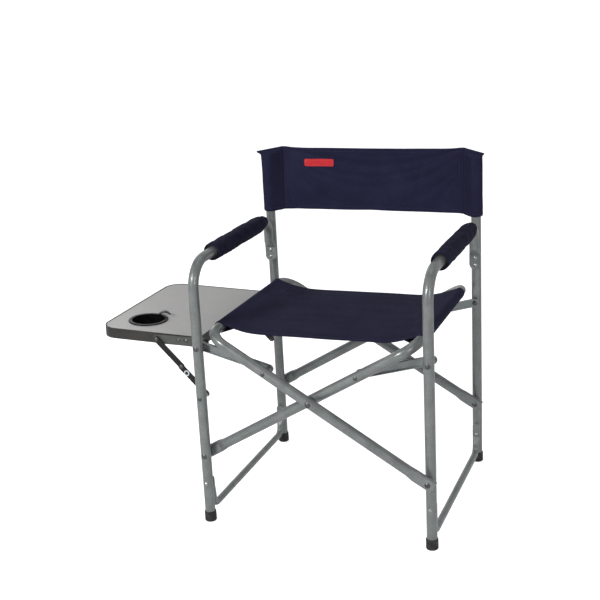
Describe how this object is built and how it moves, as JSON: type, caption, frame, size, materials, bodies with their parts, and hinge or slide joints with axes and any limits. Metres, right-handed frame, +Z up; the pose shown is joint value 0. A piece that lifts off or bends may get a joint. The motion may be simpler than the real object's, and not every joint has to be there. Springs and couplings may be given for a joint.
{
  "type": "folding director chair with side table",
  "caption": "Folding director chair: crossed steel tube frame, padded arms, fabric seat and back slings, and a fold-down side table with a cup holder.",
  "frame": {"origin": "on the floor, under the middle of the whole chair with its table", "axes": "+Z up, +Y towards the chair's back, +X towards the side without the table"},
  "size_m": [0.8368, 0.5566, 0.813],
  "materials": {
    "steel_tube": "grey silver hammered paint, satin",
    "link_steel": "grey silver paint on sheet steel, satin",
    "zinc_fastener": "zinc plated, satin",
    "sling_cloth": "navy coated polyester weave, matt",
    "pad_cloth": "navy polyester weave over foam, matt",
    "foot_plastic": "black moulded plastic",
    "cup_plastic": "black moulded plastic, slight sheen",
    "board_laminate": "light grey laminate, fine mottle",
    "edge_band": "dark grey edge band",
    "hinge_plate": "dark grey paint, satin",
    "stay_enamel": "black enamel"
  },
  "bodies": {
    "left_frame": {"left_arm_tube": "steel_tube", "left_back_post": "steel_tube", "left_floor_stretcher": "steel_tube", "left_arm_pad": "pad_cloth", "left_front_foot": "foot_plastic", "left_rear_foot": "foot_plastic", "left_post_plug": "foot_plastic", "left_frame_rivets": "zinc_fastener", "left_lower_pivots": "zinc_fastener", "left_lower_spacers": "zinc_fastener", "left_link_bolts": "zinc_fastener", "back_sling": "sling_cloth", "stay_leg_bolts": "zinc_fastener", "stay_spacers": "zinc_fastener"},
    "cross_b": {"cross_tube_b": "steel_tube", "cross_b_link_rivets": "zinc_fastener", "centre_pivots": "zinc_fastener", "centre_spacers": "zinc_fastener", "seat_sling": "sling_cloth"},
    "cross_a": {"cross_tube_a": "steel_tube", "cross_a_link_rivets": "zinc_fastener"},
    "right_frame": {"right_arm_tube": "steel_tube", "right_back_post": "steel_tube", "right_floor_stretcher": "steel_tube", "right_arm_pad": "pad_cloth", "right_front_foot": "foot_plastic", "right_rear_foot": "foot_plastic", "right_post_plug": "foot_plastic", "right_frame_rivets": "zinc_fastener", "right_lower_pivots": "zinc_fastener", "right_lower_spacers": "zinc_fastener", "right_link_bolts": "zinc_fastener"},
    "left_links": {"left_front_link": "link_steel", "left_rear_link": "link_steel", "left_link_bushes": "zinc_fastener"},
    "right_links": {"right_front_link": "link_steel", "right_rear_link": "link_steel", "right_link_bushes": "zinc_fastener"},
    "table": {"table_board": "board_laminate", "table_edge_band": "edge_band", "table_hinge_plates": "hinge_plate", "table_rivets": "zinc_fastener", "cup_holder": "cup_plastic", "cup_tab": "cup_plastic"},
    "stay_lower": {"stay_lower_bars": "stay_enamel", "stay_knee_rivets": "zinc_fastener", "stay_lock_rings": "zinc_fastener"},
    "stay_upper": {"stay_upper_bars": "stay_enamel", "stay_knee_studs": "zinc_fastener"}
  },
  "joints": [
    {"name": "fold", "type": "hinge", "parent": "left_frame", "child": "cross_b", "pos_m": [-0.1421, -0.2175, 0.167], "axis": [0, -1, 0], "range_deg": [0, 48], "deforming": ["back_sling"]},
    {"name": "cross_pivot", "type": "hinge", "parent": "cross_b", "child": "cross_a", "pos_m": [0.1279, -0.2425, 0.32604], "axis": [0, -1, 0], "range_deg": [-102, 0], "deforming": ["seat_sling"]},
    {"name": "right_frame_pivot", "type": "hinge", "parent": "cross_a", "child": "right_frame", "pos_m": [0.3979, -0.2675, 0.167], "axis": [0, -1, 0], "range_deg": [0, 48]},
    {"name": "left_link_pivot", "type": "hinge", "parent": "left_frame", "child": "left_links", "pos_m": [-0.1421, -0.2425, 0.43225], "axis": [0, -1, 0], "range_deg": [0, 87.76]},
    {"name": "right_link_pivot", "type": "hinge", "parent": "right_frame", "child": "right_links", "pos_m": [0.3979, -0.2425, 0.43225], "axis": [0, -1, 0], "range_deg": [-87.76, 0]},
    {"name": "table_fold", "type": "hinge", "parent": "left_frame", "child": "table", "pos_m": [-0.1421, -0.2425, 0.43225], "axis": [0, -1, 0], "range_deg": [0, 83]},
    {"name": "stay_lower_pivot", "type": "hinge", "parent": "left_frame", "child": "stay_lower", "pos_m": [-0.1421, -0.2425, 0.31], "axis": [0, -1, 0], "range_deg": [-47.14, 0]},
    {"name": "stay_upper_pivot", "type": "hinge", "parent": "table", "child": "stay_upper", "pos_m": [-0.26311, -0.2425, 0.43408], "axis": [0, -1, 0], "range_deg": [0, 37.52]}
  ],
  "couplings": [
    {"joint": "cross_pivot", "follows": "fold", "ratio": -2.125},
    {"joint": "right_frame_pivot", "follows": "fold", "ratio": 1},
    {"joint": "left_link_pivot", "follows": "fold", "ratio": 1.8283},
    {"joint": "right_link_pivot", "follows": "fold", "ratio": -1.8283},
    {"joint": "stay_lower_pivot", "follows": "table_fold", "ratio": -0.568},
    {"joint": "stay_upper_pivot", "follows": "table_fold", "ratio": 0.452}
  ]
}
